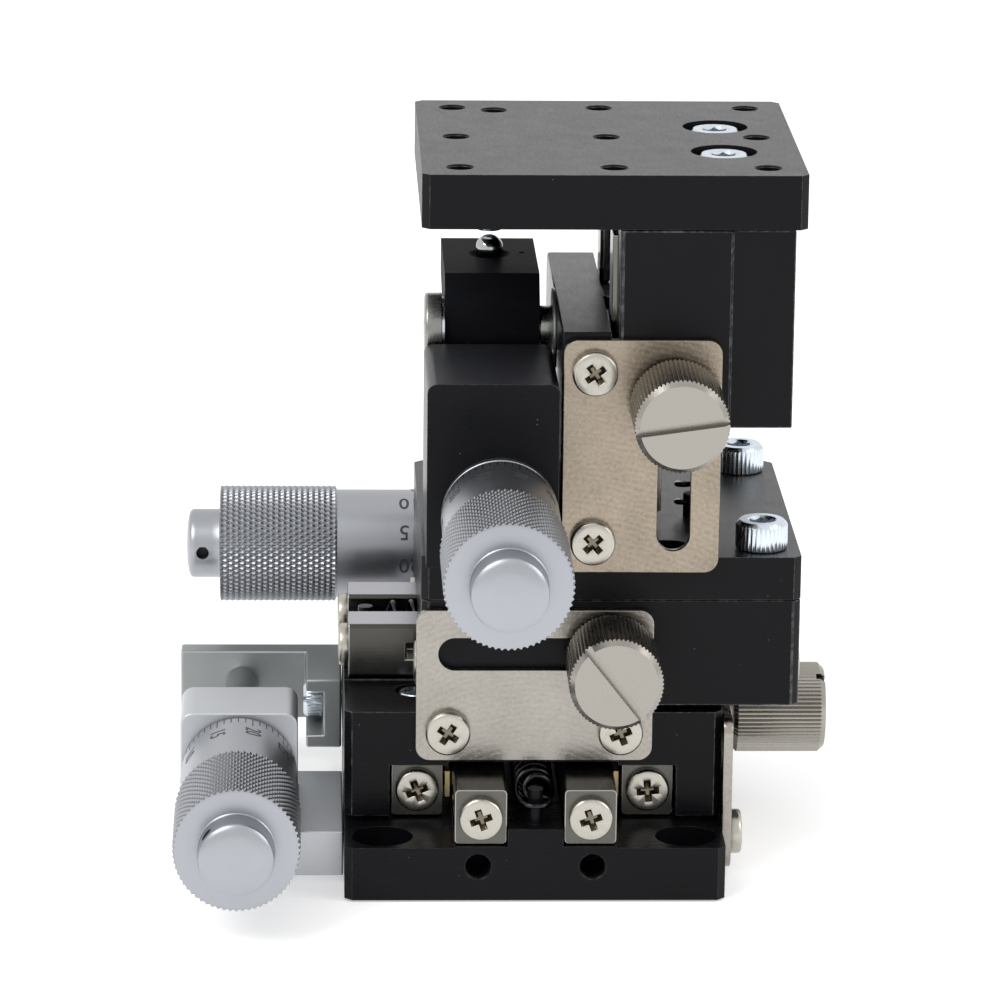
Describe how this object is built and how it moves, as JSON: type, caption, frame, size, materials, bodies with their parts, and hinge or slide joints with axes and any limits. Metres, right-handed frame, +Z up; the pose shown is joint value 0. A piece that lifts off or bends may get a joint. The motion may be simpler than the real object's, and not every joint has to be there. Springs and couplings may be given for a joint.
{
  "type": "xyz linear stage",
  "caption": "Compact three-axis positioning stage: crossed-roller tables and a vertical slide lifted by a bell crank, with micrometer heads and knurled clamp knobs.",
  "frame": {"origin": "centre of the base plate's underside", "axes": "+Z up; +Y away from the operator, along the travel of the lower stage and its micrometer; +X to the right, along the travel of the upper stage"},
  "size_m": [0.0705, 0.0937, 0.0759],
  "materials": {
    "black_anodised": "satin black anodised",
    "clear_anodised": "satin clear anodised",
    "micrometer_satin": "satin chrome",
    "rail_steel": "ground",
    "nickel_plate": "mottled satin",
    "knob_steel": "turned and knurled",
    "zinc_screw": "bright zinc plate",
    "polished_steel": "polished",
    "cage_brass": "satin",
    "spring_wire": "drawn wire"
  },
  "bodies": {
    "base": {"base_plate": "black_anodised", "y_rail_inner_left": "rail_steel", "y_rail_inner_right": "rail_steel", "y_micrometer_holder": "clear_anodised", "y_sleeve": "micrometer_satin", "y_clamp_plate": "nickel_plate", "y_spring": "spring_wire"},
    "y_cages": {"y_cage_left": "cage_brass", "y_cage_right": "cage_brass"},
    "y_stage": {"y_carriage": "black_anodised", "y_rail_outer_left": "rail_steel", "y_rail_outer_right": "rail_steel", "y_anvil": "clear_anodised", "y_anvil_screw": "zinc_screw", "x_rail_inner_back": "rail_steel", "x_rail_inner_front": "rail_steel", "x_micrometer_holder": "clear_anodised", "x_sleeve": "micrometer_satin", "x_clamp_plate": "nickel_plate", "x_spring": "spring_wire"},
    "y_spindle": {"y_spindle": "polished_steel"},
    "y_thimble": {"y_thimble": "micrometer_satin"},
    "y_knob": {"y_clamp_knob": "knob_steel"},
    "x_cages": {"x_cage_back": "cage_brass", "x_cage_front": "cage_brass"},
    "x_stage": {"x_table": "black_anodised", "x_rail_outer_back": "rail_steel", "x_rail_outer_front": "rail_steel", "x_anvil": "clear_anodised", "x_anvil_screw": "zinc_screw", "z_base_plate": "black_anodised", "z_wall": "black_anodised", "z_rail_inner_back": "rail_steel", "z_rail_inner_front": "rail_steel", "z_micrometer_holder": "black_anodised", "z_sleeve": "micrometer_satin", "z_clamp_plate": "nickel_plate", "crank_pivot_screw": "knob_steel", "crank_spacer": "knob_steel", "z_plate_screw_1": "zinc_screw", "z_plate_screw_2": "zinc_screw", "z_plate_screw_3": "zinc_screw", "z_spring": "spring_wire"},
    "x_spindle": {"x_spindle": "polished_steel"},
    "x_thimble": {"x_thimble": "micrometer_satin"},
    "x_knob": {"x_clamp_knob": "knob_steel"},
    "z_cages": {"z_cage_back": "cage_brass", "z_cage_front": "cage_brass"},
    "z_stage": {"z_carriage": "black_anodised", "z_rail_outer_back": "rail_steel", "z_rail_outer_front": "rail_steel", "top_plate": "black_anodised", "top_plate_screw_1": "zinc_screw", "top_plate_screw_2": "zinc_screw", "lift_stud": "knob_steel"},
    "z_spindle": {"z_spindle": "polished_steel"},
    "z_thimble": {"z_thimble": "micrometer_satin"},
    "z_knob": {"z_clamp_knob": "knob_steel"},
    "crank": {"bell_crank": "black_anodised", "crank_ball": "polished_steel"}
  },
  "joints": [
    {"name": "y_slide", "type": "slide", "parent": "base", "child": "y_stage", "axis": [0, 1, 0], "range_m": [-0.013, 0], "deforming": ["y_spring"]},
    {"name": "y_cage_slide", "type": "slide", "parent": "base", "child": "y_cages", "axis": [0, 1, 0], "range_m": [-0.0065, 0]},
    {"name": "y_spindle_slide", "type": "slide", "parent": "base", "child": "y_spindle", "axis": [0, 1, 0], "range_m": [-0.013, 0]},
    {"name": "y_thimble_turn", "type": "hinge", "parent": "y_spindle", "child": "y_thimble", "pos_m": [-0.03115, -0.011, 0.01], "axis": [0, 1, 0], "range_deg": [-9360, 0]},
    {"name": "y_knob_turn", "type": "hinge", "parent": "y_stage", "child": "y_knob", "pos_m": [0.0212, 0.0085, 0.01245], "axis": [1, 0, 0], "range_deg": [0, 180]},
    {"name": "x_slide", "type": "slide", "parent": "y_stage", "child": "x_stage", "axis": [1, 0, 0], "range_m": [-0.013, 0], "deforming": ["x_spring"]},
    {"name": "x_cage_slide", "type": "slide", "parent": "y_stage", "child": "x_cages", "axis": [1, 0, 0], "range_m": [-0.0065, 0]},
    {"name": "x_spindle_slide", "type": "slide", "parent": "y_stage", "child": "x_spindle", "axis": [1, 0, 0], "range_m": [-0.013, 0]},
    {"name": "x_thimble_turn", "type": "hinge", "parent": "x_spindle", "child": "x_thimble", "pos_m": [-0.011, 0.03965, 0.02225], "axis": [1, 0, 0], "range_deg": [-9360, 0]},
    {"name": "x_knob_turn", "type": "hinge", "parent": "x_stage", "child": "x_knob", "pos_m": [0.008, -0.0127, 0.0247], "axis": [0, -1, 0], "range_deg": [0, 180]},
    {"name": "z_slide", "type": "slide", "parent": "x_stage", "child": "z_stage", "axis": [0, 0, 1], "range_m": [-0.01, 0], "deforming": ["z_spring"]},
    {"name": "z_cage_slide", "type": "slide", "parent": "x_stage", "child": "z_cages", "axis": [0, 0, 1], "range_m": [-0.005, 0]},
    {"name": "z_spindle_slide", "type": "slide", "parent": "x_stage", "child": "z_spindle", "axis": [0, 1, 0], "range_m": [-0.013, 0]},
    {"name": "z_thimble_turn", "type": "hinge", "parent": "z_spindle", "child": "z_thimble", "pos_m": [-0.004, -0.0165, 0.0409], "axis": [0, 1, 0], "range_deg": [-9360, 0]},
    {"name": "crank_turn", "type": "hinge", "parent": "x_stage", "child": "crank", "pos_m": [-0.0043, 0.0058, 0.0556], "axis": [1, 0, 0], "range_deg": [-55, 0]},
    {"name": "z_knob_turn", "type": "hinge", "parent": "z_stage", "child": "z_knob", "pos_m": [0.0143, -0.0127, 0.0522], "axis": [0, -1, 0], "range_deg": [0, 180]}
  ],
  "couplings": [
    {"joint": "y_thimble_turn", "follows": "y_slide", "rad_per_m": 12566},
    {"joint": "y_spindle_slide", "follows": "y_slide", "ratio": 1},
    {"joint": "y_cage_slide", "follows": "y_slide", "ratio": 0.5},
    {"joint": "x_thimble_turn", "follows": "x_slide", "rad_per_m": 12566},
    {"joint": "x_spindle_slide", "follows": "x_slide", "ratio": 1},
    {"joint": "x_cage_slide", "follows": "x_slide", "ratio": 0.5},
    {"joint": "z_thimble_turn", "follows": "z_slide", "rad_per_m": 16336},
    {"joint": "z_cage_slide", "follows": "z_slide", "ratio": 0.5},
    {"joint": "z_spindle_slide", "follows": "z_slide", "ratio": 1.3},
    {"joint": "crank_turn", "follows": "z_slide", "rad_per_m": 92.5}
  ]
}
